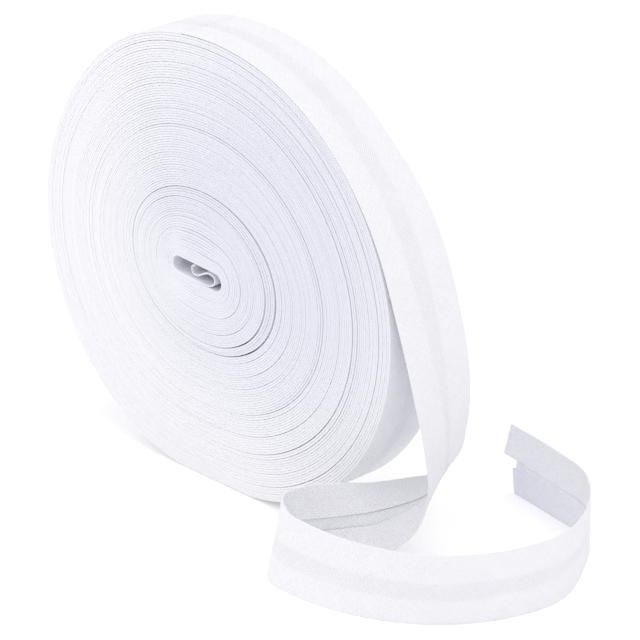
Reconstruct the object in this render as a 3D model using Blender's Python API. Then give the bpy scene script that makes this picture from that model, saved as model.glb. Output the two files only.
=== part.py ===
"""Roll of bias tape.

A flat roll of folded cloth tape stands on its rim, its front face towards -Y. The outermost turn
comes loose at the top, falls past the right side (+X), folds back under itself and curls once
round on the floor. The origin is the middle of the small flat spot that the roll rests on.

Sizes are in millimetres and angles in degrees; meshes are made in metres.
"""

import math
from collections import namedtuple

import bpy
import numpy as np

MM = 0.001

# The tape
TAPE_WIDTH = 15.0
SHEET = 1.0
SEAT_GAP = 0.3
FOLD_GAP_WIDTH = 2.6
FOLD_GAP_DEPTH = 0.3
EDGE_ROUND = 0.3

# The roll's outline, seen from the front, about its middle
ROLL_MIDDLE = (0.0, 47.8)
RimRadius = namedtuple("RimRadius", "angle radius")
RIM = [
    RimRadius(0, 51.2),
    RimRadius(30, 49.2),
    RimRadius(60, 47.9),
    RimRadius(90, 47.6),
    RimRadius(120, 49.1),
    RimRadius(150, 49.9),
    RimRadius(180, 51.3),
    RimRadius(210, 51.6),
    RimRadius(240, 50.4),
    RimRadius(270, 48.2),
    RimRadius(300, 50.6),
    RimRadius(330, 51.8),
]
OUTER_END = 47.0
RIM_ROUND = 0.4
ANGLE_STEP = 5
LEAST_STEP = 2

# The bed in the rim under the loose end, which lies flush with the turns beside it
LOOSE_START = 99.0
LOOSE_LIFT = 42.0
LOOSE_ROWS_ON_ROLL = 6
BED_TOP = 99.5
BED_STEP = 1.5
BED_FULL = 15.0
BED_GONE = 3.0

# The core: a flat oval slot, with the tape's inner end bent to an S across it
SLOT_MIDDLE = (-4.1, 45.1)
SLOT_LENGTH = 13.8
SLOT_HEIGHT = 3.0
SLOT_TURN = -5.4
SLOT_ROUND = 0.3
INNER_END_SHEET = 0.6
INNER_END_INSET = 0.3
INNER_END_ROWS = 30
SBend = namedtuple("SBend", "along up")
INNER_END = [
    SBend(-0.9, 2.1),
    SBend(-2.1, 0.4),
    SBend(-1.6, -0.8),
    SBend(-0.1, -0.8),
    SBend(1.6, 0.3),
    SBend(3.4, 1.0),
    SBend(4.9, 0.7),
    SBend(5.3, -0.2),
    SBend(4.3, -1.1),
    SBend(3.1, -2.1),
]

# How far groups of turns stand out of the front face, from the slot (0) to the rim (1)
FaceStep = namedtuple("FaceStep", "share out")
FACE = [
    FaceStep(0.0, 0.1),
    FaceStep(0.07, 0.4),
    FaceStep(0.15, 0.2),
    FaceStep(0.29, 0.3),
    FaceStep(0.31, -0.1),
    FaceStep(0.42, 0.1),
    FaceStep(0.58, 0.2),
    FaceStep(0.60, -0.1),
    FaceStep(0.69, 0.0),
    FaceStep(0.77, 0.2),
    FaceStep(0.85, -0.1),
    FaceStep(0.92, 0.1),
    FaceStep(1.0, 0.0),
]
FACE_WAVE = 0.12
FACE_WAVE_LAPS = 2
FACE_WAVE_DRIFT = 11

# Grooves where one group of turns has parted from the next, on both faces
Groove = namedtuple("Groove", "share depth")
GROOVES = [
    Groove(0.275, 0.6),
    Groove(0.315, 0.8),
    Groove(0.595, 0.4),
    Groove(0.775, 0.5),
    Groove(0.925, 0.4),
]
GROOVE_HALF_WIDTH = 0.01
PLAIN_RINGS = [0.02, 0.08, 0.14, 0.21, 0.40, 0.50, 0.68, 0.85, 0.96]

# The loose end below the roll: the tape's two long edges at each bend, from the roll to the cut end
Bend = namedtuple("Bend", "near far")
BENDS = [
    Bend((42.7, -7.5, 71.5), (44.3, 7.5, 72.2)),
    Bend((46.5, -7.5, 65.2), (48.7, 7.5, 66.0)),
    Bend((52.2, -7.5, 52.0), (54.2, 7.5, 53.0)),
    Bend((56.5, -7.0, 38.0), (57.0, 8.0, 39.0)),
    Bend((59.2, -6.0, 25.0), (56.0, 8.5, 26.0)),
    Bend((59.5, -5.5, 18.0), (54.0, 8.5, 19.5)),
    Bend((59.0, -6.8, 11.5), (49.5, 6.3, 14.8)),
    Bend((55.8, -7.4, 5.0), (44.6, 3.4, 13.9)),
    Bend((50.0, -8.4, 0.5), (41.5, -2.9, 13.4)),
    Bend((43.5, -12.0, 0.0), (40.0, -9.3, 14.0)),
    Bend((39.5, -17.5, 0.0), (36.8, -15.5, 14.6)),
    Bend((37.2, -24.0, 0.0), (36.6, -22.0, 14.8)),
    Bend((41.0, -29.5, 0.0), (42.0, -26.0, 14.6)),
    Bend((49.0, -30.0, 0.0), (49.5, -27.2, 14.7)),
    Bend((62.0, -27.0, 0.0), (62.0, -26.0, 15.0)),
    Bend((74.0, -19.5, 0.0), (74.5, -20.0, 15.0)),
    Bend((81.8, -8.5, 0.0), (82.6, -9.0, 15.0)),
    Bend((84.6, 5.0, 0.0), (85.4, 5.0, 15.0)),
    Bend((79.0, 18.0, 0.0), (80.0, 18.0, 15.0)),
    Bend((71.0, 28.0, 0.0), (70.5, 27.3, 15.0)),
    Bend((60.0, 30.5, 0.0), (60.0, 30.5, 15.0)),
    Bend((46.0, 33.0, 0.0), (45.5, 33.2, 15.0)),
]
LOOSE_STEP = 2.5

# How far the uneven cut end reaches past the last bend, across the tape's width
CutPoint = namedtuple("CutPoint", "width past")
CUT_END = [
    CutPoint(-7.5, -2.0),
    CutPoint(-1.6, -1.4),
    CutPoint(-1.3, -2.4),
    CutPoint(1.3, -2.2),
    CutPoint(1.6, 1.4),
    CutPoint(7.5, 0.0),
]

CLOTH_WHITE = (0.90, 0.90, 0.93, 1.0)
CLOTH_ROUGHNESS = 0.9
SHARP_ANGLE = 35


def clear_scene():
    for item in list(bpy.data.objects):
        bpy.data.objects.remove(item, do_unlink=True)


def cloth(name):
    material = bpy.data.materials.new(name)
    material.use_nodes = True
    shader = material.node_tree.nodes["Principled BSDF"]
    shader.inputs["Base Color"].default_value = CLOTH_WHITE
    shader.inputs["Roughness"].default_value = CLOTH_ROUGHNESS
    shader.inputs["Metallic"].default_value = 0.0
    return material


def make_object(name, points, faces):
    """A smooth-shaded object from points in millimetres."""
    mesh = bpy.data.meshes.new(name)
    mesh.from_pydata([[c * MM for c in point] for point in points], [], faces)
    mesh.shade_smooth()
    mesh.set_sharp_from_angle(angle=math.radians(SHARP_ANGLE))
    mesh.materials.append(cloth(name + "_cloth"))
    item = bpy.data.objects.new(name, mesh)
    bpy.context.scene.collection.objects.link(item)
    return item


def through(knots, values, where):
    """Values at the places in `where`, on a smooth curve through the given knots."""
    gaps = np.diff(knots)
    rates = np.diff(values, axis=0) / gaps[:, None]
    slopes = np.empty_like(values)
    slopes[0] = rates[0]
    slopes[-1] = rates[-1]
    before, after = gaps[:-1, None], gaps[1:, None]
    slopes[1:-1] = (rates[:-1] * after + rates[1:] * before) / (before + after)
    index = np.clip(np.searchsorted(knots, where, side="right") - 1, 0, len(gaps) - 1)
    span = gaps[index][:, None]
    t = (where - knots[index])[:, None] / span
    return (values[index] * (1 + 2 * t) * (1 - t) ** 2 + values[index + 1] * t ** 2 * (3 - 2 * t)
            + slopes[index] * span * t * (1 - t) ** 2 - slopes[index + 1] * span * t ** 2 * (1 - t))


def rim_radius(angle):
    """The roll's outer radius at an angle, round a closed smooth curve."""
    laps = [(row.angle + lap, row.radius) for lap in (-360, 0, 360) for row in RIM]
    knots = np.array([lap[0] for lap in laps], float)
    values = np.array([[lap[1]] for lap in laps])
    return float(through(knots, values, np.array([angle % 360.0]))[0, 0])


def oval_radius(angle, end):
    """The radius of an oval with straight sides and round ends, as tape wound on the slot makes."""
    straight = (SLOT_LENGTH - SLOT_HEIGHT) / 2
    turn = math.radians(angle - SLOT_TURN)
    across, up = abs(math.cos(turn)), abs(math.sin(turn))
    if up * straight > across * end:
        return end / up
    return straight * across + math.sqrt(end ** 2 - (straight * up) ** 2)


def turn_point(share, angle, inward=0.0):
    """A point (x, z) on the turn that lies a share of the way from the slot to the rim."""
    slot_end = SLOT_HEIGHT / 2
    radius = oval_radius(angle, slot_end + (OUTER_END - slot_end) * share)
    radius += (rim_radius(angle) - oval_radius(angle, OUTER_END)) * share ** 2 - inward
    way = math.radians(angle)
    x = SLOT_MIDDLE[0] * (1 - share) + ROLL_MIDDLE[0] * share + radius * math.cos(way)
    z = SLOT_MIDDLE[1] * (1 - share) + ROLL_MIDDLE[1] * share + radius * math.sin(way)
    return x, max(z, 0.0)


def bed_depth(angle):
    """How far the rim is lowered under the loose end."""
    if angle > BED_TOP:
        return 0.0
    fade = min(max((angle - BED_GONE) / (BED_FULL - BED_GONE), 0.0), 1.0)
    return (SHEET + SEAT_GAP) * fade


def face_out(share, angle):
    """How far the turns here stand out of the front face, and so out of sight at the back."""
    step = np.interp(share, [row.share for row in FACE], [row.out for row in FACE])
    wave = math.sin(math.radians(FACE_WAVE_LAPS * angle) + FACE_WAVE_DRIFT * share)
    return float(step) + FACE_WAVE * wave * math.sin(math.pi * share)


def groove_depth(share):
    return sum(row.depth for row in GROOVES if abs(row.share - share) < GROOVE_HALF_WIDTH / 2)


def face_rings():
    rings = list(PLAIN_RINGS)
    for row in GROOVES:
        rings += [row.share - GROOVE_HALF_WIDTH, row.share, row.share + GROOVE_HALF_WIDTH]
    return sorted(rings)


def roll_angles():
    """Even steps, but for the pair at the step above the loose end's bed."""
    step = (BED_TOP, BED_TOP + BED_STEP)
    regular = [float(a) for a in range(0, 360, ANGLE_STEP) if min(abs(a - s) for s in step) > LEAST_STEP]
    return sorted(regular + list(step))


def roll_rings(angle):
    """The closed section of the roll at one angle: slot wall, front face, rim, back face."""
    half = TAPE_WIDTH / 2
    front = []
    x, z = turn_point(0.0, angle)
    front.append((x, -(half - SLOT_ROUND) - face_out(0.0, angle), z))
    for share in face_rings():
        x, z = turn_point(share, angle)
        front.append((x, -half - face_out(share, angle) + groove_depth(share), z))
    x, z = turn_point(1.0, angle, bed_depth(angle) + RIM_ROUND)
    front.append((x, -half, z))
    x, z = turn_point(1.0, angle, bed_depth(angle))
    front.append((x, -(half - RIM_ROUND), z))
    back = []
    for ring, (x, y, z) in enumerate(front):
        inner = ring == 0
        outer = ring >= len(front) - 2
        if inner or outer:
            back.append((x, -y if outer else y + TAPE_WIDTH - 2 * SLOT_ROUND, z))
        else:
            groove = groove_depth(face_rings()[ring - 1])
            back.append((x, y + TAPE_WIDTH - 2 * groove, z))
    return front + back[::-1]


def wheel_faces(laps, length):
    """Quads that join each section to the next all the way round."""
    faces = []
    for lap in range(laps):
        after = (lap + 1) % laps
        for i in range(length):
            j = (i + 1) % length
            faces.append((lap * length + i, lap * length + j, after * length + j, after * length + i))
    return faces


def slot_place(along, up):
    """A point in the slot, given along and across it."""
    turn = math.radians(SLOT_TURN)
    x = SLOT_MIDDLE[0] + along * math.cos(turn) - up * math.sin(turn)
    z = SLOT_MIDDLE[1] + along * math.sin(turn) + up * math.cos(turn)
    return x, z


def smooth_line(rows, count):
    """Evenly spread points on a smooth curve through the rows."""
    values = np.array(rows, float)
    knots = np.concatenate([[0], np.cumsum(np.linalg.norm(np.diff(values, axis=0), axis=1))])
    return through(knots, values, np.linspace(0, knots[-1], count))


def build_inner_end():
    """The inner end's S, from face to face, rooted in the slot's wall at both ends."""
    line = smooth_line([slot_place(row.along, row.up) for row in INNER_END], INNER_END_ROWS)
    way = np.gradient(line, axis=0)
    way /= np.linalg.norm(way, axis=1)[:, None]
    side = np.stack([-way[:, 1], way[:, 0]], axis=1) * INNER_END_SHEET / 2
    half = TAPE_WIDTH / 2 - INNER_END_INSET
    points = []
    for middle, offset in zip(line, side):
        for sign, y in ((1, -half), (-1, -half), (-1, half), (1, half)):
            x, z = middle + sign * offset
            points.append((x, y, z))
    faces = strip_faces(len(line), 4)
    guide = make_object("inner_end_guide", points, faces)
    guide.hide_render = True
    guide.display_type = "WIRE"
    return guide


def strip_faces(rows, length):
    """Quads along an open run of closed sections, with both ends closed."""
    faces = []
    for row in range(rows - 1):
        for i in range(length):
            j = (i + 1) % length
            faces.append((row * length + i, row * length + j, (row + 1) * length + j, (row + 1) * length + i))
    faces.append(tuple(range(length))[::-1])
    last = (rows - 1) * length
    faces.append(tuple(range(last, last + length)))
    return faces


def build_roll():
    angles = roll_angles()
    sections = [roll_rings(angle) for angle in angles]
    points = [point for section in sections for point in section]
    roll = make_object("roll", points, wheel_faces(len(angles), len(sections[0])))
    union = roll.modifiers.new("inner_end", "BOOLEAN")
    union.operation = "UNION"
    union.solver = "EXACT"
    union.object = build_inner_end()
    return roll


def loose_bends():
    """The tape's edges over the roll's top and side, then at the bends below it."""
    rows = []
    half = TAPE_WIDTH / 2
    for angle in np.linspace(LOOSE_START, LOOSE_LIFT, LOOSE_ROWS_ON_ROLL):
        x, z = turn_point(1.0, angle, SHEET / 2)
        rows.append(((x, -half, z), (x, half, z)))
    return np.array(rows + [(row.near, row.far) for row in BENDS])


def tape_section():
    """The tape's cross-section: along its width, and out of its right side."""
    half, thick, gap = TAPE_WIDTH / 2, SHEET / 2, FOLD_GAP_WIDTH / 2
    right = [(-half, thick - EDGE_ROUND), (-half + EDGE_ROUND, thick), (0.0, thick),
             (half - EDGE_ROUND, thick), (half, thick - EDGE_ROUND)]
    wrong = [(half, -thick + EDGE_ROUND), (half - EDGE_ROUND, -thick), (gap + EDGE_ROUND, -thick),
             (gap, -thick + FOLD_GAP_DEPTH), (-gap, -thick + FOLD_GAP_DEPTH), (-gap - EDGE_ROUND, -thick),
             (-half + EDGE_ROUND, -thick), (-half, -thick + EDGE_ROUND)]
    return (right + wrong)[::-1]


def cut_past(width):
    return np.interp(width, [row.width for row in CUT_END], [row.past for row in CUT_END])


def build_loose_end():
    edges = loose_bends()
    middles = edges.mean(axis=1)
    knots = np.concatenate([[0], np.cumsum(np.linalg.norm(np.diff(middles, axis=0), axis=1))])
    count = round(knots[-1] / LOOSE_STEP)
    run = through(knots, edges.reshape(len(edges), 6), np.linspace(0, knots[-1], count)).reshape(count, 2, 3)
    middle = run.mean(axis=1)
    across = run[:, 1] - run[:, 0]
    across /= np.linalg.norm(across, axis=1)[:, None]
    along = np.gradient(middle, axis=0)
    along -= across * (along * across).sum(axis=1)[:, None]
    along /= np.linalg.norm(along, axis=1)[:, None]
    out = np.cross(along, across)
    points = []
    for row in range(count):
        last = row == count - 1
        for width, height in tape_section():
            point = middle[row] + across[row] * width + out[row] * height
            if last:
                point = point + along[row] * cut_past(width)
            points.append((point[0], point[1], max(point[2], 0.0)))
    return make_object("loose_end", points, strip_faces(count, len(tape_section())))


def main():
    clear_scene()
    build_roll()
    build_loose_end()


main()
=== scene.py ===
"""A roll of white bias tape on a pale floor.

The cloth is cut on the bias, its two long edges are folded in and pressed, and the folded tape is
wound round a flat oval core. The outermost turn hangs loose and curls round on the floor.
Places are given in millimetres and degrees; the pieces are made in metres.
"""

import math
from collections import namedtuple

import bpy
import numpy as np
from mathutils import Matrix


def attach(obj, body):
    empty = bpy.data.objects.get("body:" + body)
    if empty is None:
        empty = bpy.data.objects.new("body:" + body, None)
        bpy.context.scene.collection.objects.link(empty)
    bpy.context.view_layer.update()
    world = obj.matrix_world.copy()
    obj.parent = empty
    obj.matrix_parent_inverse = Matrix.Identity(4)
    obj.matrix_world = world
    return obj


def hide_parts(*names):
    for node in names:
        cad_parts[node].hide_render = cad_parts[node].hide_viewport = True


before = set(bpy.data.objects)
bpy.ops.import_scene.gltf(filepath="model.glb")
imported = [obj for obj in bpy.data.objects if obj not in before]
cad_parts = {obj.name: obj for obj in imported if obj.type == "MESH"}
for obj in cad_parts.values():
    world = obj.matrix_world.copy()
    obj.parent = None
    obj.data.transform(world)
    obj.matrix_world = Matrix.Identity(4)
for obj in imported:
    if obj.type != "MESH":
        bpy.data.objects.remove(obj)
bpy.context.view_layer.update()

MM = 0.001

# The folded tape: wound, loose and at its inner end. A wound turn is as thick as the room between
# its neighbours lets it be, within limits
TAPE_WIDTH = 15.0
TAPE_THICK = 0.44
LOOSE_THICK = 0.34
INNER_THICK = 0.36
LEAST_THICK = 0.36
MOST_THICK = 0.6
TURN_GAP = 0.02

# Its cloth, and the folds along its two edges, pressed nearly square
CLOTH_THICK = 0.15
FOLD_DEPTH = 0.14
FOLD_SQUARE = 0.65
FOLD_STEPS = 8
FLAT_END = TAPE_WIDTH / 2 - FOLD_DEPTH
LOOSE_RADIUS = (LOOSE_THICK - CLOTH_THICK) / 2

# The gap between the folded edges on the wrong side, how deep and how softly the right side dips
# over it, and how softly the single layer of cloth there begins to show
FLAP_GAP = 2.6
DIP = 0.09
DIP_SOFT = 0.4
SINGLE_SOFT = 0.9

# The roll's outline, seen from the front, about its middle
ROLL_MIDDLE = (0.0, 47.8)
RimRadius = namedtuple("RimRadius", "angle radius")
RIM = [
    RimRadius(0, 51.2),
    RimRadius(30, 49.2),
    RimRadius(60, 47.9),
    RimRadius(90, 47.6),
    RimRadius(120, 49.1),
    RimRadius(150, 49.9),
    RimRadius(180, 51.3),
    RimRadius(210, 51.6),
    RimRadius(240, 50.4),
    RimRadius(270, 48.4),
    RimRadius(300, 50.6),
    RimRadius(330, 51.8),
]

# How round the ends of the outermost turn's oval are, half a turn as a share of that, and how
# quickly the flat spot that the roll rests on fades towards the core
OUTER_END = 47.0
HALF_TURN = TAPE_THICK / 2 / OUTER_END
PRESSED_DEPTH = 8

# How much further the turns bulge over the core's flat sides than at its ends, and the share of
# the way to the rim at which they have become ellipses
Bulge = namedtuple("Bulge", "share height")
BULGES = [Bulge(0.0, 2.2), Bulge(0.14, 2.2), Bulge(0.31, 0.9), Bulge(0.6, 0.3), Bulge(1.0, 0.0)]
ROUND_SHARE = 0.25

# The core: a flat oval slot, with the tape's inner end bent to an S across it. The inner end
# stands back from the face and runs on into these rows of the first turn
SLOT_MIDDLE = (-4.1, 45.1)
SLOT_LENGTH = 13.8
SLOT_HEIGHT = 3.0
SLOT_TURN = -5.4
SBend = namedtuple("SBend", "along up")
INNER_END = [
    SBend(-1.2, 1.15),
    SBend(-2.1, 0.4),
    SBend(-1.6, -0.8),
    SBend(-0.1, -0.8),
    SBend(1.6, 0.3),
    SBend(3.4, 1.0),
    SBend(4.9, 0.7),
    SBend(5.3, -0.3),
    SBend(4.5, -1.2),
    SBend(3.4, -1.62),
]
INNER_END_INSET = 0.5
INNER_END_STEP = 0.04
JOINED_ROWS = (0, 12, 24)

# The winding runs clockwise outwards, from the core's lower wall to the top of the rim. Over its
# last laps the turns come level with the face
WIND_START = 317.0
WIND_END = 99.0
FULL_LAPS = 88
ROWS_A_LAP = 720
STEADY_LAPS = 1.5

# It is made as three pieces that end after so many laps, with rows close enough to look smooth
CORE_LAPS = 22.0
MIDDLE_LAPS = 78.0
MOST_TURN = 6.5
MOST_STEP = 6.0
SMOOTH_ANGLE = 50.0

# Rings where the turns have parted, from the slot (0) to the rim (1), the least share of its gap
# that a parting keeps on its closed side, how quickly it closes towards there, and the laps that
# it takes to open
Parting = namedtuple("Parting", "share gap widest")
PARTINGS = [
    Parting(0.06, 0.10, 20),
    Parting(0.12, 0.14, 10),
    Parting(0.20, 0.16, 0),
    Parting(0.275, 0.46, 10),
    Parting(0.315, 0.52, 10),
    Parting(0.345, 0.10, 0),
    Parting(0.42, 0.10, 0),
    Parting(0.47, 0.10, 10),
    Parting(0.595, 0.18, 20),
    Parting(0.62, 0.08, 0),
    Parting(0.70, 0.10, -20),
    Parting(0.775, 0.20, 0),
    Parting(0.80, 0.12, 10),
    Parting(0.87, 0.08, 20),
    Parting(0.925, 0.16, 0),
    Parting(0.955, 0.10, 60),
]
PARTING_LEAST = 0.2
PARTING_POWER = 2.5
PARTING_LAPS = 0.4

# How far groups of turns stand out of the front face, and the slow wave and uneven drift on top
FaceStep = namedtuple("FaceStep", "share out")
FACE = [
    FaceStep(0.0, 0.1),
    FaceStep(0.07, 0.4),
    FaceStep(0.15, 0.2),
    FaceStep(0.29, 0.3),
    FaceStep(0.31, -0.1),
    FaceStep(0.42, 0.1),
    FaceStep(0.58, 0.2),
    FaceStep(0.60, -0.1),
    FaceStep(0.69, 0.0),
    FaceStep(0.77, 0.2),
    FaceStep(0.85, -0.1),
    FaceStep(0.92, 0.1),
    FaceStep(1.0, 0.0),
]
FACE_WAVE = 0.12
FACE_WAVE_LAPS = 2
FACE_WAVE_DRIFT = 11
TURN_WANDER = 0.05
WANDER_KNOTS = 5
WANDER_SEED = 4

# The loose end: the tape's two long edges at each bend, from below the angle where it leaves the
# rim down to the cut end
Bend = namedtuple("Bend", "near far")
BENDS = [
    Bend((43.0, -7.5, 71.7), (44.3, 7.5, 72.2)),
    Bend((46.8, -7.5, 65.3), (48.7, 7.5, 66.0)),
    Bend((52.2, -7.5, 52.0), (54.2, 7.5, 53.0)),
    Bend((56.5, -7.0, 38.0), (57.0, 8.0, 39.0)),
    Bend((59.2, -6.0, 25.0), (56.0, 8.5, 26.0)),
    Bend((59.5, -5.5, 18.0), (54.0, 8.5, 19.5)),
    Bend((59.0, -6.8, 11.5), (49.5, 6.3, 14.8)),
    Bend((55.8, -7.4, 5.0), (44.6, 3.4, 13.9)),
    Bend((50.0, -8.4, 0.5), (41.5, -2.9, 13.4)),
    Bend((43.5, -12.0, 0.0), (40.0, -9.3, 14.0)),
    Bend((38.8, -17.5, 0.0), (36.8, -15.5, 14.6)),
    Bend((35.9, -24.0, 0.0), (36.6, -22.0, 14.8)),
    Bend((40.0, -29.3, 0.0), (42.0, -26.0, 14.6)),
    Bend((49.0, -30.0, 0.0), (49.5, -27.2, 14.7)),
    Bend((62.0, -27.0, 0.0), (62.0, -26.0, 15.0)),
    Bend((74.0, -19.5, 0.0), (74.5, -20.0, 15.0)),
    Bend((81.8, -8.5, 0.0), (82.6, -9.0, 15.0)),
    Bend((84.6, 5.0, 0.0), (85.4, 5.0, 15.0)),
    Bend((79.0, 18.0, 0.0), (80.0, 18.0, 15.0)),
    Bend((71.0, 28.0, 0.0), (70.5, 27.3, 15.0)),
    Bend((60.0, 30.5, 0.0), (60.0, 30.5, 15.0)),
    Bend((46.0, 33.0, 0.0), (45.5, 33.2, 15.0)),
]
LIFT_ANGLE = 40.0
LAST_TURN_STEP = 5.0
LOOSE_ROW = 0.5

# Along the loose end, as shares of its length: how wide the gap between the two folded edges is,
# how far its middle lies from the tape's, and how far the folded edges stand off the cloth. The
# gap is never less than LEAST_GAP
FlapRow = namedtuple("FlapRow", "share gap middle lift")
FLAPS = [
    FlapRow(0.0, 2.6, 0.0, 0.0),
    FlapRow(0.30, 2.4, 0.0, 0.0),
    FlapRow(0.41, 0.5, 0.4, 0.0),
    FlapRow(0.44, 1.2, 0.4, 0.05),
    FlapRow(0.46, 2.0, 0.45, 0.1),
    FlapRow(0.48, 2.6, 0.4, 0.15),
    FlapRow(0.50, 2.5, -0.05, 0.15),
    FlapRow(0.52, 2.6, -0.6, 0.15),
    FlapRow(0.56, 2.8, -0.6, 0.1),
    FlapRow(0.62, 2.6, -0.5, 0.0),
    FlapRow(0.80, 2.2, -0.2, 0.0),
    FlapRow(0.88, 0.4, 0.0, 0.05),
    FlapRow(0.92, 0.1, -0.1, 0.1),
    FlapRow(0.97, 0.04, -0.1, 0.1),
    FlapRow(1.0, 0.06, -0.1, 0.1),
]
LEAST_GAP = 0.04

# How far from the tape's middle line points lie: on a loose folded edge, on the loose right side
# and on the wound right side, there also from the edge of the dip. On a folded edge they keep at
# least LEAST_COLUMN apart
FLAP_COLUMNS = [6.2, 4.8, 3.5, 2.6, 2.1, 1.95, 1.5, 1.1, 0.7, 0.3, 0.15]
TOP_COLUMNS = [6.2, 5.2, 4.2, 3.4, 2.7, 2.1, 1.95, 1.5, 1.1, 0.7, 0.3, 0.15]
WOUND_COLUMNS = [FLAT_END, 5.0, 3.0]
DIP_COLUMNS = [0.7, 0.2, -0.3, -0.8]
LEAST_COLUMN = 0.03

# How far the uneven cut end reaches past the last bend, across the tape's width, and the length
# of tape that is stretched or shortened for it
CutPoint = namedtuple("CutPoint", "width past")
CUT_END = [
    CutPoint(-7.5, -1.3),
    CutPoint(-2.1, -0.75),
    CutPoint(-1.95, -1.9),
    CutPoint(0.15, -2.2),
    CutPoint(0.3, 2.2),
    CutPoint(7.5, -0.1),
]
CUT_REACH = 6.0

# Painted shade: the cloth is painted a little greyer where it stands in shade, most round this
# place on the roll's face, and on the last share of the loose end, there more on its lower half
PAINTED_SHADE_MIDDLE = (17.0, 60.0)
PAINTED_SHADE_NEAR = 15.0
PAINTED_SHADE_FAR = 60.0
PAINTED_SHADE_END = 0.12
PAINTED_SHADE_END_MIDDLE = 0.6
PAINTED_SHADE_END_LEAN = 0.4

# The finish: matt white cloth, with painted shade between its threads and in shaded places.
# It is greyer in a single layer. Wound cloth shows less of its weave than loose cloth. Soft
# patches rumple it, and vary how clearly the single layer shows
CLOTH_WHITE = (0.925, 0.926, 0.951, 1.0)
# Painted shade between the threads: the gaps between threads are painted this darker colour
THREAD_GAP_SHADE_WHITE = (0.75, 0.745, 0.82, 1.0)
SINGLE_LAYER_WHITE = (0.97, 0.97, 0.975, 1.0)
SINGLE_SHADE = 0.72
# Painted shade: the grey that stands for shade on the roll's face and the loose end's last stretch
PAINTED_SHADE_WHITE = (0.885, 0.885, 0.94, 1.0)
CLOTH_ROUGHNESS = 0.92
CLOTH_SPECULAR = 0.25
CLOTH_SHEEN = 0.25
SHEEN_ROUGHNESS = 0.45
WOUND_RELIEF = 0.035
WOUND_SHADE = 0.5
LOOSE_RELIEF = 0.06
LOOSE_SHADE = 0.75
PATCH_SCALE = 110.0
PATCH_DETAIL = 2.0
PATCH_GAIN = 2.0
RUMPLE_DEPTH = 0.5

# The weave: how far threads wander, how much they rise and fall over each other, where the gap
# between them, which is painted with shade, begins, and how their tone drifts
THREAD_PITCH = 0.42
WOBBLE_SCALE = 900.0
WOBBLE_THREADS = 0.5
THREAD_LIFT = 0.35
GAP_BOTTOM = 0.15
GAP_TOP = 0.6
TINT_SCALE = 1.7
TINT_STRETCH = 0.04
TINT_SPREAD = 0.12
THREAD_DETAIL = 1.0

# The floor and the light
FLOOR_SIDE = 6000.0
FLOOR_WHITE = (0.98, 0.98, 0.98, 1.0)
FLOOR_ROUGHNESS = 0.9
FLOOR_GLOW = 0.1
BACKDROP_WHITE = (0.98, 0.98, 1.0, 1.0)
BACKDROP_STRENGTH = 0.8
Lamp = namedtuple("Lamp", "name place size power colour")
LAMPS = [
    Lamp("left", (-270.0, -300.0, 220.0), 300.0, 0.23, (1.0, 0.99, 0.95)),
    Lamp("top", (100.0, 0.0, 900.0), 900.0, 1.9, (1.0, 0.99, 0.96)),
    Lamp("right", (520.0, -230.0, 560.0), 500.0, 0.42, (1.0, 0.99, 0.96)),
]
LAMPS_FACE = (20.0, 0.0, 45.0)

# The camera
VIEW_TURN = 46.0
VIEW_RISE = 23.3
VIEW_ANGLE = 11.5
VIEW_DISTANCE = 642.3
VIEW_MIDDLE_RIGHT = 16.6
VIEW_MIDDLE_UP = -11.8
VIEW_HEIGHT = 46.6


def through(knots, values, where):
    """Values at the places in `where`, on a smooth curve through the given knots."""
    gaps = np.diff(knots)
    rates = np.diff(values, axis=0) / gaps[:, None]
    slopes = np.empty_like(values)
    slopes[0] = rates[0]
    slopes[-1] = rates[-1]
    before, after = gaps[:-1, None], gaps[1:, None]
    slopes[1:-1] = (rates[:-1] * after + rates[1:] * before) / (before + after)
    index = np.clip(np.searchsorted(knots, where, side="right") - 1, 0, len(gaps) - 1)
    span = gaps[index][:, None]
    t = (where - knots[index])[:, None] / span
    by_value = values[index] * (1 + 2 * t) * (1 - t) ** 2 + values[index + 1] * t ** 2 * (3 - 2 * t)
    leaving = slopes[index] * span * t * (1 - t) ** 2
    arriving = slopes[index + 1] * span * t ** 2 * (1 - t)
    return by_value + leaving - arriving


def smooth_table(rows, where):
    """A table's other columns at the places in `where` of its first column."""
    table = np.array(rows, float)
    return through(table[:, 0], table[:, 1:], where)


def smooth_step(t):
    """0 below 0, 1 above 1, and a soft rise between them."""
    t = np.clip(t, 0.0, 1.0)
    return t * t * (3 - 2 * t)


def lengths_along(points):
    """How far each point lies along its line, whose points are on the next to last axis."""
    steps = np.linalg.norm(np.diff(points, axis=-2), axis=-1)
    return np.concatenate([np.zeros_like(steps[..., :1]), np.cumsum(steps, axis=-1)], axis=-1)


def rim_radius(angle):
    """How far the rim lies from the roll's middle at each angle."""
    laps = [(row.angle + lap, row.radius) for lap in (-360, 0, 360) for row in RIM]
    return smooth_table(laps, angle % 360.0)[:, 0]


def oval_radius(angle, end):
    """The radius of an oval with straight sides and round ends, as tape wound on the slot has."""
    straight = (SLOT_LENGTH - SLOT_HEIGHT) / 2
    turn = np.radians(angle - SLOT_TURN)
    across, up = np.abs(np.cos(turn)), np.abs(np.sin(turn))
    side = end / np.maximum(up, 1e-6)
    rounded = straight * across + np.sqrt(np.maximum(end ** 2 - (straight * up) ** 2, 0.0))
    return np.where(up * straight > across * end, side, rounded)


def ring_radius(angle, share):
    """A turn's radius: next to the core it keeps the slot's sides, further out it is an ellipse."""
    end = SLOT_HEIGHT / 2 + (OUTER_END - SLOT_HEIGHT / 2) * share
    turn = np.radians(angle - SLOT_TURN)
    wide = end + (SLOT_LENGTH - SLOT_HEIGHT) / 2
    tall = end + smooth_table(BULGES, share)[:, 0]
    ellipse = wide * tall / np.hypot(tall * np.cos(turn), wide * np.sin(turn))
    rounder = smooth_step(share / ROUND_SHARE)
    return oval_radius(angle, end) * (1 - rounder) + ellipse * rounder


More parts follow.
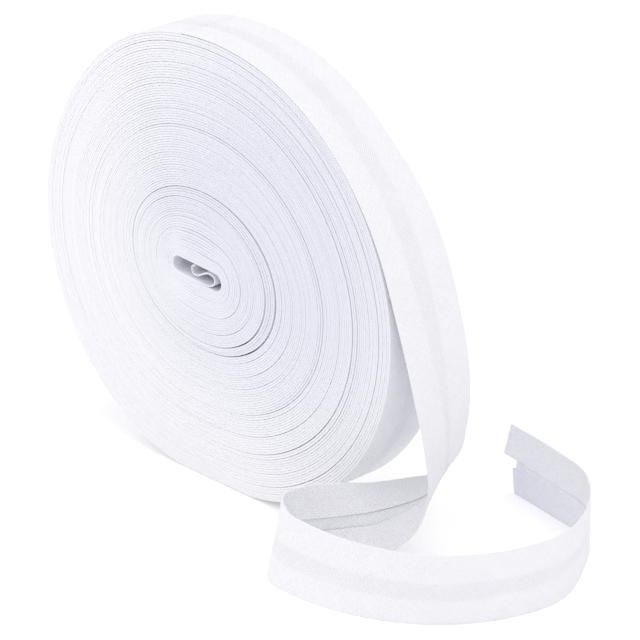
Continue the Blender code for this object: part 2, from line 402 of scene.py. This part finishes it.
def turn_place(share, angle):
    """Points (x, z) on the turns that lie a share of the way from the slot to the rim."""
    radius = ring_radius(angle, share)
    radius = radius + (rim_radius(angle) - ring_radius(angle, np.ones_like(share))) * share ** 2
    way = np.radians(angle)
    x = SLOT_MIDDLE[0] * (1 - share) + ROLL_MIDDLE[0] * share + radius * np.cos(way)
    z = SLOT_MIDDLE[1] * (1 - share) + ROLL_MIDDLE[1] * share + radius * np.sin(way)
    sunk = np.maximum(-(ROLL_MIDDLE[1] + rim_radius(angle) * np.sin(way)), 0.0)
    return np.stack([x, z + sunk * np.clip(share, 0, 1) ** PRESSED_DEPTH], axis=1)


def slot_place(along, up):
    """The place (x, z) of a point given along and up from the slot's middle."""
    turn = math.radians(SLOT_TURN)
    x = SLOT_MIDDLE[0] + along * math.cos(turn) - up * math.sin(turn)
    z = SLOT_MIDDLE[1] + along * math.sin(turn) + up * math.cos(turn)
    return x, z


def spread_open(share, angle, lap):
    """The turns' shares once the partings have pushed them aside."""
    depth = SLOT_HEIGHT / 2 + OUTER_END
    pushed = share.copy()
    total = np.ones_like(share)
    for row in PARTINGS:
        open_side = (0.5 + 0.5 * np.cos(np.radians(angle - row.widest))) ** PARTING_POWER
        gap = row.gap / depth * (PARTING_LEAST + (1 - PARTING_LEAST) * open_side)
        closed_side = row.widest + 180.0
        laps_in = row.share * lap[-1]
        opens_at = round(laps_in) + ((WIND_START - closed_side) % 360.0) / 360.0
        pushed += gap * smooth_step((lap - opens_at) / PARTING_LAPS + 0.5)
        total += gap
    return pushed / total


def wander(lap):
    """A slow uneven drift from turn to turn."""
    count = int(lap[-1] * WANDER_KNOTS) + 2
    knots = np.arange(count) / WANDER_KNOTS
    heights = np.random.default_rng(WANDER_SEED).normal(0.0, TURN_WANDER, (count, 1))
    return through(knots, heights, lap)[:, 0]


def face_out(share, angle):
    """How far the turns here stand out of the front face, and stand back on the other one."""
    step = np.interp(share, [row.share for row in FACE], [row.out for row in FACE])
    wave = np.sin(np.radians(FACE_WAVE_LAPS * angle) + FACE_WAVE_DRIFT * share)
    return step + FACE_WAVE * wave * np.sin(np.pi * share)


def pressed_thickness(place):
    """How thick the tape lies at each row, where it fills the room between its neighbours."""
    step = np.linalg.norm(place[ROWS_A_LAP:] - place[:-ROWS_A_LAP], axis=1)
    outward = np.concatenate([step, step[-ROWS_A_LAP:]])
    inward = np.concatenate([step[:ROWS_A_LAP], step])
    room = np.minimum(outward, inward) - TURN_GAP
    return np.clip(room, LEAST_THICK, MOST_THICK)


def inner_end(place, first_out):
    """The tape's inner end in the slot, run on into the first wound rows."""
    knots = [slot_place(row.along, row.up) for row in INNER_END]
    knots = np.array(knots + [tuple(place[row]) for row in JOINED_ROWS])
    far = lengths_along(knots)
    joined = far[len(INNER_END)]
    line = through(far, knots, np.arange(0.0, joined - INNER_END_STEP / 2, INNER_END_STEP))
    count = len(line)
    out = np.interp(np.arange(count), [0, count], [-INNER_END_INSET, first_out])
    before_laps = np.full(count, -1.0)
    return np.column_stack([line, out, before_laps, np.full(count, INNER_THICK)])


def winding():
    """The wound tape's middle line, as rows of x, z, how far it stands out, laps and thickness."""
    total = FULL_LAPS + (WIND_START - WIND_END) / 360.0
    lap = np.append(np.arange(0.0, total, 1 / ROWS_A_LAP), total)
    angle = WIND_START - lap * 360.0
    room = 1.0 - 2 * HALF_TURN
    share = spread_open(HALF_TURN + room * lap / total, angle, lap)
    share = HALF_TURN + (share - share[0]) / (share[-1] - share[0]) * room
    place = turn_place(share, angle)
    steady = np.clip((total - lap) / STEADY_LAPS, 0.0, 1.0)
    out = (face_out(share, angle) + wander(lap)) * steady
    wound = np.column_stack([place, out, lap, pressed_thickness(place)])
    return np.vstack([inner_end(place, out[0]), wound])


def fewer_rows(line):
    """The line with its rows spread by how far it runs and how sharply it turns."""
    run = np.diff(line[:, :2], axis=0)
    steps = np.linalg.norm(run, axis=1)
    heading = np.unwrap(np.arctan2(run[:, 1], run[:, 0]))
    turn = np.abs(np.diff(heading, prepend=heading[0]))
    cost = np.concatenate([[0], np.cumsum(steps / MOST_STEP + np.degrees(turn) / MOST_TURN)])
    where = np.linspace(0, cost[-1], math.ceil(cost[-1]) + 1)
    rows = np.column_stack([line, lengths_along(line[:, :2])])
    return np.column_stack([np.interp(where, cost, rows[:, k]) for k in range(rows.shape[1])])


def grid_strip(name, rows, columns):
    """A flat grid of faces, and the row along it and column across it of each of its points."""
    bpy.ops.object.select_all(action="DESELECT")
    bpy.ops.mesh.primitive_grid_add(x_subdivisions=rows - 1, y_subdivisions=columns - 1, size=1.0)
    strip = bpy.context.object
    strip.name = name
    strip.data.name = name
    flat = np.empty(len(strip.data.vertices) * 3)
    strip.data.vertices.foreach_get("co", flat)
    flat = flat.reshape(-1, 3)
    row = np.rint((flat[:, 0] + 0.5) * (rows - 1)).astype(int)
    column = np.rint((flat[:, 1] + 0.5) * (columns - 1)).astype(int)
    return strip, row, column


def lay(strip, row, column, places, along, across):
    """Moves the grid's points to their places, and keeps the flat cloth's measure as UV map."""
    mesh = strip.data
    mesh.vertices.foreach_set("co", (places[row, column] * MM).ravel())
    corner = np.empty(len(mesh.loops), int)
    mesh.loops.foreach_get("vertex_index", corner)
    layer = mesh.uv_layers.active
    layer.name = "cloth"
    across = np.broadcast_to(across, places.shape[:2])
    flat = np.column_stack([along[row[corner]], across[row[corner], column[corner]]]) * MM
    layer.data.foreach_set("uv", flat.ravel())
    mesh.update()


def single_layer(width, gap, middle):
    """1 where the tape is one layer of cloth, between its folded edges, and 0 where it is two."""
    return 1 - smooth_step((np.abs(width - middle) - gap / 2) / SINGLE_SOFT)


def mark(strip, name, values):
    """Keeps a value for each of the strip's points, for its material to read."""
    layer = strip.data.attributes.new(name, "FLOAT", "POINT")
    layer.data.foreach_set("value", values)


def select_only(strip):
    """Selects one piece and makes it the active one."""
    bpy.ops.object.select_all(action="DESELECT")
    bpy.context.view_layer.objects.active = strip
    strip.select_set(True)


def edit(strip, *steps):
    """Runs edit-mode steps on all of a strip."""
    select_only(strip)
    bpy.ops.object.mode_set(mode="EDIT")
    bpy.ops.mesh.select_all(action="SELECT")
    for step in steps:
        step()
    bpy.ops.object.mode_set(mode="OBJECT")


def finish_smooth(strip):
    """Shades a piece smooth, but for its sharp edges."""
    select_only(strip)
    bpy.ops.object.shade_smooth_by_angle(angle=math.radians(SMOOTH_ANGLE))


def dip(width, gap, middle):
    """How far the right side sinks where no folded edge lies under it."""
    return DIP * (0.5 - 0.5 * np.tanh((np.abs(width - middle) - gap / 2) / DIP_SOFT))


def right_side(detailed):
    """Points across the tape's right side, which dips where no folded edge lies under it."""
    if not detailed:
        return [(-FLAT_END, TAPE_THICK / 2), (FLAT_END, TAPE_THICK / 2)]
    widths = WOUND_COLUMNS + [FLAP_GAP / 2 + past for past in DIP_COLUMNS] + [0.0]
    rows = []
    for width in [-w for w in widths] + widths[-2::-1]:
        rows.append((width, TAPE_THICK / 2 - dip(width, FLAP_GAP, 0.0)))
    return rows


def fold_round(side, radius, depth, start, end):
    """Points round a folded edge that has been pressed nearly square, on one side of the tape."""
    centre = side * FLAT_END
    rows = []
    for angle in np.linspace(start, end, FOLD_STEPS + 1)[1:-1]:
        across, up = math.cos(math.radians(angle)), math.sin(math.radians(angle))
        rise = math.copysign(abs(up) ** FOLD_SQUARE, up)
        rows.append((centre + side * depth * abs(across) ** FOLD_SQUARE, radius * rise))
    return rows


def wound_outline(detailed):
    """The wound tape's closed outline, begun and ended in the middle of its wrong side."""
    below = -TAPE_THICK / 2
    rows = [(0.0, below), (-FLAT_END, below)]
    rows += fold_round(-1, TAPE_THICK / 2, FOLD_DEPTH, -90, 90)
    rows += right_side(detailed)
    rows += fold_round(1, TAPE_THICK / 2, FOLD_DEPTH, 90, -90)
    rows += [(FLAT_END, below), (0.0, below)]
    return np.array(rows)


def lengths_round(outline):
    """How far each point of an outline lies round it from its middle point."""
    round_it = lengths_along(outline)
    middle = round_it.shape[-1] // 2
    return round_it - round_it[..., middle:middle + 1]


def face_painted_shade(rows):
    """How much painted shade the roll's turns get, by how near they lie to where it is deepest."""
    away = np.hypot(rows[:, 0] - PAINTED_SHADE_MIDDLE[0], rows[:, 1] - PAINTED_SHADE_MIDDLE[1])
    return 1 - smooth_step((away - PAINTED_SHADE_NEAR) / (PAINTED_SHADE_FAR - PAINTED_SHADE_NEAR))


def wind_piece(name, rows, detailed):
    """One stretch of the winding, swept with the tape's outline."""
    outline = wound_outline(detailed)
    strip, row, column = grid_strip(name, len(rows), len(outline))
    middle = np.column_stack([rows[:, 0], -rows[:, 2], rows[:, 1]])
    run = np.gradient(rows[:, :2], rows[:, 5], axis=0)
    run /= np.linalg.norm(run, axis=1)[:, None]
    out = np.column_stack([-run[:, 1], np.zeros(len(rows)), run[:, 0]])
    across = np.array([0.0, 1.0, 0.0])
    height = outline[None, :, 1:] * (rows[:, 4] / TAPE_THICK)[:, None, None]
    places = middle[:, None] + across * outline[None, :, :1] + out[:, None] * height
    places[..., 2] = np.maximum(places[..., 2], 0.0)
    lay(strip, row, column, places, rows[:, 5], lengths_round(outline))
    mark(strip, "single_layer", single_layer(outline[:, 0], FLAP_GAP, 0.0)[column])
    # Painted shade: how much greyer each point of the turns is painted, to stand for shade
    mark(strip, "painted_shade", face_painted_shade(rows)[row])
    edit(
        strip,
        lambda: bpy.ops.mesh.remove_doubles(threshold=1e-6),
        lambda: bpy.ops.mesh.select_all(action="DESELECT"),
        lambda: bpy.ops.mesh.select_non_manifold(),
        lambda: bpy.ops.mesh.edge_face_add(),
        lambda: bpy.ops.mesh.select_all(action="SELECT"),
        lambda: bpy.ops.mesh.normals_make_consistent(inside=False),
    )
    finish_smooth(strip)
    return strip


def loose_rows(last_turn):
    """The tape's two edges from the top of the rim to the cut end, every LOOSE_ROW."""
    half = TAPE_WIDTH / 2
    knots = [((x, -half, z), (x, half, z)) for x, z in last_turn]
    edges = np.array(knots + [(row.near, row.far) for row in BENDS])
    middles = edges.mean(axis=1)
    far = lengths_along(middles)
    where = np.linspace(0, far[-1], round(far[-1] / LOOSE_ROW))
    run = through(far, edges.reshape(len(edges), 6), where).reshape(len(where), 2, 3)
    return run, where


def folded_edge(side, gap, middle, lift):
    """The cloth of one folded edge, from its raw edge out and round the fold."""
    edge = gap / 2 + side * middle
    widths = [FLAT_END] + FLAP_COLUMNS
    columns = []
    for number, width in enumerate(widths):
        columns.append(np.maximum(width, edge + LEAST_COLUMN * (len(widths) - number)))
    columns.append(edge)
    cloth = []
    for width in columns[::-1]:
        off = lift * ((FLAT_END - width) / (FLAT_END - edge)) ** 2
        cloth.append(np.stack([side * width, -LOOSE_RADIUS - off], axis=1))
    for point in fold_round(side, LOOSE_RADIUS, FOLD_DEPTH - CLOTH_THICK / 2, -90, 90):
        cloth.append(np.tile(point, (len(gap), 1)))
    return cloth


def folded_outline(gap, middle, lift):
    """The middle of the cloth across the folded tape, from raw edge to raw edge, at each row."""
    half_top = [FLAT_END] + TOP_COLUMNS
    top = []
    for width in [-w for w in half_top] + [0.0] + half_top[::-1]:
        height = LOOSE_RADIUS - dip(width, gap, middle)
        top.append(np.stack([np.full(len(gap), width), height], axis=1))
    edges = [folded_edge(side, gap, middle, lift) for side in (-1, 1)]
    return np.stack(edges[0] + top + edges[1][::-1], axis=1)


def cut_past(width):
    """How far the cut end reaches past the last bend at a place across the tape."""
    return np.interp(width, [row.width for row in CUT_END], [row.past for row in CUT_END])


def loose_axes(run, where):
    """Each row's middle, and the directions across, along and out of the cloth there."""
    middle = run.mean(axis=1)
    across = run[:, 1] - run[:, 0]
    across /= np.linalg.norm(across, axis=1)[:, None]
    along = np.gradient(middle, where, axis=0)
    along -= across * (along * across).sum(axis=1)[:, None]
    along /= np.linalg.norm(along, axis=1)[:, None]
    return middle, across, along, np.cross(along, across)


def end_painted_shade(share, outline):
    """How much painted shade the last stretch of the loose end gets, more on its lower half."""
    lower_half = PAINTED_SHADE_END_MIDDLE - PAINTED_SHADE_END_LEAN * np.tanh(outline[..., 0])
    return smooth_step((share - 1 + PAINTED_SHADE_END) / PAINTED_SHADE_END)[:, None] * lower_half


def thicken(strip):
    """Gives a sheet of cloth its thickness, half of it on each side."""
    select_only(strip)
    solid = strip.modifiers.new("cloth", "SOLIDIFY")
    solid.thickness = CLOTH_THICK * MM
    solid.offset = 0.0
    bpy.ops.object.modifier_apply(modifier=solid.name)
    edit(strip, lambda: bpy.ops.mesh.normals_make_consistent(inside=False))


def loose_tape(last_turn):
    """The loose end as a sheet of cloth with its two edges folded in, and its length."""
    run, where = loose_rows(last_turn)
    middle, across, along, out = loose_axes(run, where)
    share = where / where[-1]
    gap, gap_middle, lift = smooth_table(FLAPS, share).T
    gap = np.maximum(gap, LEAST_GAP)
    outline = folded_outline(gap, gap_middle, lift)
    strip, row, column = grid_strip("loose_tape", len(where), outline.shape[1])
    height = outline[..., 1:] + (TAPE_THICK - LOOSE_THICK) / 2
    places = middle[:, None] + across[:, None] * outline[..., :1] + out[:, None] * height
    near_cut = smooth_step(1 - (where[-1] - where) / CUT_REACH)
    places += along[:, None] * (cut_past(outline[..., 0]) * near_cut[:, None])[..., None]
    places[..., 2] = np.maximum(places[..., 2], CLOTH_THICK / 2)
    lay(strip, row, column, places, where, lengths_round(outline))
    single = single_layer(outline[..., 0], gap[:, None], gap_middle[:, None])
    single[outline[..., 1] < 0] = 0.0
    mark(strip, "single_layer", single[row, column])
    # Painted shade: the loose end's last stretch is painted greyer, more on its lower half
    mark(strip, "painted_shade", end_painted_shade(share, outline)[row, column])
    thicken(strip)
    finish_smooth(strip)
    return strip, where[-1]


def new_group(name, inputs, outputs):
    """A node group with sockets for the given labels and kinds, and its two end nodes."""
    group = bpy.data.node_groups.new(name, "ShaderNodeTree")
    for label, kind in inputs:
        group.interface.new_socket(name=label, in_out="INPUT", socket_type=kind)
    for label, kind in outputs:
        group.interface.new_socket(name=label, in_out="OUTPUT", socket_type=kind)
    return group, group.nodes.new("NodeGroupInput"), group.nodes.new("NodeGroupOutput")


def math_node(tree, operation, first, second=None, third=None):
    """The result of one operation on up to three numbers or other nodes' results."""
    node = tree.nodes.new("ShaderNodeMath")
    node.operation = operation
    for socket, value in zip(node.inputs, (first, second, third)):
        if value is None:
            continue
        if isinstance(value, (int, float)):
            socket.default_value = value
        else:
            tree.links.new(value, socket)
    return node.outputs[0]


def noise(tree, where, scale, detail):
    """Soft random patches."""
    node = tree.nodes.new("ShaderNodeTexNoise")
    node.inputs["Scale"].default_value = scale
    node.inputs["Detail"].default_value = detail
    tree.links.new(where, node.inputs["Vector"])
    return node.outputs[0]


def marked(tree, name):
    """The value that a piece's points were marked with."""
    node = tree.nodes.new("ShaderNodeAttribute")
    node.attribute_name = name
    return node.outputs["Fac"]


def mixed(tree, way, under, over, factor):
    """A colour, mixed with or multiplied by a fixed one, fully where the factor is 1."""
    node = tree.nodes.new("ShaderNodeMix")
    node.data_type = "RGBA"
    node.blend_type = way
    node.inputs["B"].default_value = over
    if isinstance(under, tuple):
        node.inputs["A"].default_value = under
    else:
        tree.links.new(under, node.inputs["A"])
    tree.links.new(factor, node.inputs["Factor"])
    return node.outputs["Result"]


def raised(tree, height, depth, under=None):
    """The normal of a relief so many millimetres deep, on top of another normal if given."""
    node = tree.nodes.new("ShaderNodeBump")
    node.inputs["Distance"].default_value = depth * MM
    tree.links.new(height, node.inputs["Height"])
    if under is not None:
        tree.links.new(under, node.inputs["Normal"])
    return node.outputs[0]


def weave_group():
    """A plain weave on the bias: threads run at 45 degrees to the tape."""
    takes = [("Cloth", "NodeSocketVector"), ("Thread Pitch", "NodeSocketFloat")]
    makes = [(label, "NodeSocketFloat") for label in ("Height", "Gap", "Thread Tint")]
    group, given, made = new_group("bias_weave", takes, makes)
    parts = group.nodes.new("ShaderNodeSeparateXYZ")
    group.links.new(given.outputs["Cloth"], parts.inputs[0])
    along, across = parts.outputs[0], parts.outputs[1]
    pitch = math_node(group, "MULTIPLY", given.outputs["Thread Pitch"], math.sqrt(2))
    wobble = noise(group, given.outputs["Cloth"], WOBBLE_SCALE, THREAD_DETAIL)
    shift = math_node(group, "MULTIPLY_ADD", wobble, WOBBLE_THREADS, -WOBBLE_THREADS / 2)
    warp = math_node(group, "DIVIDE", math_node(group, "ADD", along, across), pitch)
    weft = math_node(group, "DIVIDE", math_node(group, "SUBTRACT", along, across), pitch)
    warp = math_node(group, "ADD", warp, shift)
    weft = math_node(group, "SUBTRACT", weft, shift)
    warp_wave = math_node(group, "SINE", math_node(group, "MULTIPLY", warp, math.pi))
    weft_wave = math_node(group, "SINE", math_node(group, "MULTIPLY", weft, math.pi))
    over = math_node(group, "MULTIPLY", math_node(group, "SIGN", warp_wave), weft_wave)
    under = math_node(group, "MULTIPLY", math_node(group, "SIGN", weft_wave), warp_wave)
    warp_lift = math_node(group, "MULTIPLY_ADD", over, THREAD_LIFT, 1 - THREAD_LIFT)
    weft_lift = math_node(group, "MULTIPLY_ADD", under, -THREAD_LIFT, 1 - THREAD_LIFT)
    warp_rise = math_node(group, "MULTIPLY", math_node(group, "ABSOLUTE", warp_wave), warp_lift)
    weft_rise = math_node(group, "MULTIPLY", math_node(group, "ABSOLUTE", weft_wave), weft_lift)
    height = math_node(group, "MAXIMUM", warp_rise, weft_rise)
    group.links.new(height, made.inputs["Height"])
    # The gap between threads, where the cloth is painted with shade
    hollow = group.nodes.new("ShaderNodeMapRange")
    hollow.inputs["From Min"].default_value = GAP_BOTTOM
    hollow.inputs["From Max"].default_value = GAP_TOP
    hollow.inputs["To Min"].default_value = 1.0
    hollow.inputs["To Max"].default_value = 0.0
    group.links.new(height, hollow.inputs["Value"])
    group.links.new(hollow.outputs[0], made.inputs["Gap"])
    tints = []
    for thread, place_on_it in ((warp, weft), (weft, warp)):
        line = group.nodes.new("ShaderNodeCombineXYZ")
        group.links.new(math_node(group, "FLOOR", thread), line.inputs[0])
        group.links.new(math_node(group, "MULTIPLY", place_on_it, TINT_STRETCH), line.inputs[1])
        tints.append(noise(group, line.outputs[0], TINT_SCALE, THREAD_DETAIL))
    tint = math_node(group, "MULTIPLY", math_node(group, "ADD", *tints), 0.5)
    group.links.new(tint, made.inputs["Thread Tint"])
    return group


def cloth_colour(tree, threads, patchy, shade):
    """White, with painted shade between the threads and in shaded places, greyer in a single layer.
    """
    patches = math_node(tree, "MULTIPLY", patchy, PATCH_GAIN)
    layers = math_node(tree, "MULTIPLY", marked(tree, "single_layer"), patches)
    seen_through = math_node(tree, "MULTIPLY_ADD", layers, SINGLE_SHADE, shade)
    # Painted shade between the threads, stronger where the cloth is one layer
    gaps = math_node(tree, "MULTIPLY", threads.outputs["Gap"], seen_through)
    colour = mixed(tree, "MIX", CLOTH_WHITE, THREAD_GAP_SHADE_WHITE, gaps)
    colour = mixed(tree, "MULTIPLY", colour, SINGLE_LAYER_WHITE, layers)
    # Painted shade: greyer where the points were marked as lying in shade
    colour = mixed(tree, "MULTIPLY", colour, PAINTED_SHADE_WHITE, marked(tree, "painted_shade"))
    drift = threads.outputs["Thread Tint"]
    tone = math_node(tree, "MULTIPLY_ADD", drift, TINT_SPREAD, 1 - TINT_SPREAD / 2)
    toned = tree.nodes.new("ShaderNodeHueSaturation")
    tree.links.new(colour, toned.inputs["Color"])
    tree.links.new(tone, toned.inputs["Value"])
    return toned.outputs[0]


def cloth_material(name, weave, relief, shade):
    """Matt woven cloth, whose threads stand out by the relief and whose gaps get painted shade."""
    material = bpy.data.materials.new(name)
    material.use_nodes = True
    tree = material.node_tree
    shader = tree.nodes["Principled BSDF"]
    shader.inputs["Roughness"].default_value = CLOTH_ROUGHNESS
    shader.inputs["Metallic"].default_value = 0.0
    shader.inputs["Specular IOR Level"].default_value = CLOTH_SPECULAR
    shader.inputs["Sheen Weight"].default_value = CLOTH_SHEEN
    shader.inputs["Sheen Roughness"].default_value = SHEEN_ROUGHNESS
    cloth = tree.nodes.new("ShaderNodeUVMap")
    cloth.uv_map = "cloth"
    threads = tree.nodes.new("ShaderNodeGroup")
    threads.node_tree = weave
    threads.inputs["Thread Pitch"].default_value = THREAD_PITCH * MM
    tree.links.new(cloth.outputs[0], threads.inputs["Cloth"])
    patchy = noise(tree, cloth.outputs[0], PATCH_SCALE, PATCH_DETAIL)
    tree.links.new(cloth_colour(tree, threads, patchy, shade), shader.inputs["Base Color"])
    rumpled = raised(tree, patchy, RUMPLE_DEPTH)
    woven = raised(tree, threads.outputs["Height"], relief, rumpled)
    tree.links.new(woven, shader.inputs["Normal"])
    return material


def dress(piece, material, node):
    """Gives a piece its cloth and its body, and hides the solid that it stands for."""
    piece.data.materials.clear()
    piece.data.materials.append(material)
    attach(piece, "root")
    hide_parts(node)


def build_tape():
    """The three wound pieces from the core outwards, the loose end, and the loose end's length."""
    line = winding()
    laps = line[:, 3]
    core_end = int(np.searchsorted(laps[1:], CORE_LAPS))
    middle_end = int(np.searchsorted(laps[1:], MIDDLE_LAPS))
    length = lengths_along(line[:, :2])
    pieces = []
    for name, first, last, detailed in (
        ("core_turns", 0, core_end, False),
        ("middle_turns", core_end, middle_end, False),
        ("outer_turns", middle_end, len(line) - 1, True),
    ):
        rows = fewer_rows(line[first:last + 1])
        rows[:, 5] += length[first]
        pieces.append(wind_piece(name, rows, detailed))
    angles = np.arange(WIND_END, LIFT_ANGLE, -LAST_TURN_STEP)
    last_turn = turn_place(np.full(len(angles), 1.0 - HALF_TURN), angles)
    loose, loose_length = loose_tape(last_turn)
    return pieces, loose, loose_length


def build_floor():
    """A pale floor, far wider than the view."""
    bpy.ops.object.select_all(action="DESELECT")
    bpy.ops.mesh.primitive_plane_add(size=FLOOR_SIDE * MM, location=(0.0, 0.0, 0.0))
    floor = bpy.context.object
    floor.name = "floor"
    material = bpy.data.materials.new("floor_paint")
    material.use_nodes = True
    shader = material.node_tree.nodes["Principled BSDF"]
    shader.inputs["Base Color"].default_value = FLOOR_WHITE
    shader.inputs["Roughness"].default_value = FLOOR_ROUGHNESS
    shader.inputs["Emission Color"].default_value = FLOOR_WHITE
    shader.inputs["Emission Strength"].default_value = FLOOR_GLOW
    floor.data.materials.append(material)


def add_lamp(row):
    """A large soft lamp, turned to face the roll."""
    bpy.ops.object.light_add(type="AREA", location=[c * MM for c in row.place])
    lamp = bpy.context.object
    lamp.name = row.name
    lamp.data.shape = "DISK"
    lamp.data.size = row.size * MM
    lamp.data.energy = row.power
    lamp.data.color = row.colour
    way = np.array(LAMPS_FACE) - np.array(row.place)
    rise = math.atan2(way[2], math.hypot(way[0], way[1]))
    lamp.rotation_euler = (math.pi / 2 + rise, 0.0, math.atan2(way[1], way[0]) - math.pi / 2)


def build_light():
    """Soft light from all round, and three large lamps."""
    world = bpy.data.worlds.new("studio")
    bpy.context.scene.world = world
    world.use_nodes = True
    backdrop = world.node_tree.nodes["Background"]
    backdrop.inputs["Color"].default_value = BACKDROP_WHITE
    backdrop.inputs["Strength"].default_value = BACKDROP_STRENGTH
    for row in LAMPS:
        add_lamp(row)
    bpy.context.scene.view_settings.view_transform = "Standard"


def build_camera():
    """The camera looks from the front right and a little above, along the photo's view."""
    turn, rise = math.radians(VIEW_TURN), math.radians(VIEW_RISE)
    level = math.cos(rise)
    back = np.array([math.sin(turn) * level, -math.cos(turn) * level, math.sin(rise)])
    right = np.array([math.cos(turn), math.sin(turn), 0.0])
    up = np.cross(back, right)
    middle = right * VIEW_MIDDLE_RIGHT + up * VIEW_MIDDLE_UP + np.array([0.0, 0.0, VIEW_HEIGHT])
    place = (middle + back * VIEW_DISTANCE) * MM
    bpy.ops.object.camera_add(location=place, rotation=(math.pi / 2 - rise, 0.0, turn))
    camera = bpy.context.object
    camera.name = "camera"
    camera.data.angle = math.radians(VIEW_ANGLE)
    bpy.context.scene.camera = camera


weave = weave_group()
wound_cloth = cloth_material("wound_cloth", weave, WOUND_RELIEF, WOUND_SHADE)
loose_cloth = cloth_material("loose_cloth", weave, LOOSE_RELIEF, LOOSE_SHADE)
turns, loose, loose_length = build_tape()
for piece in turns:
    dress(piece, wound_cloth, "roll")
dress(loose, loose_cloth, "loose_end")
build_floor()
build_light()
build_camera()
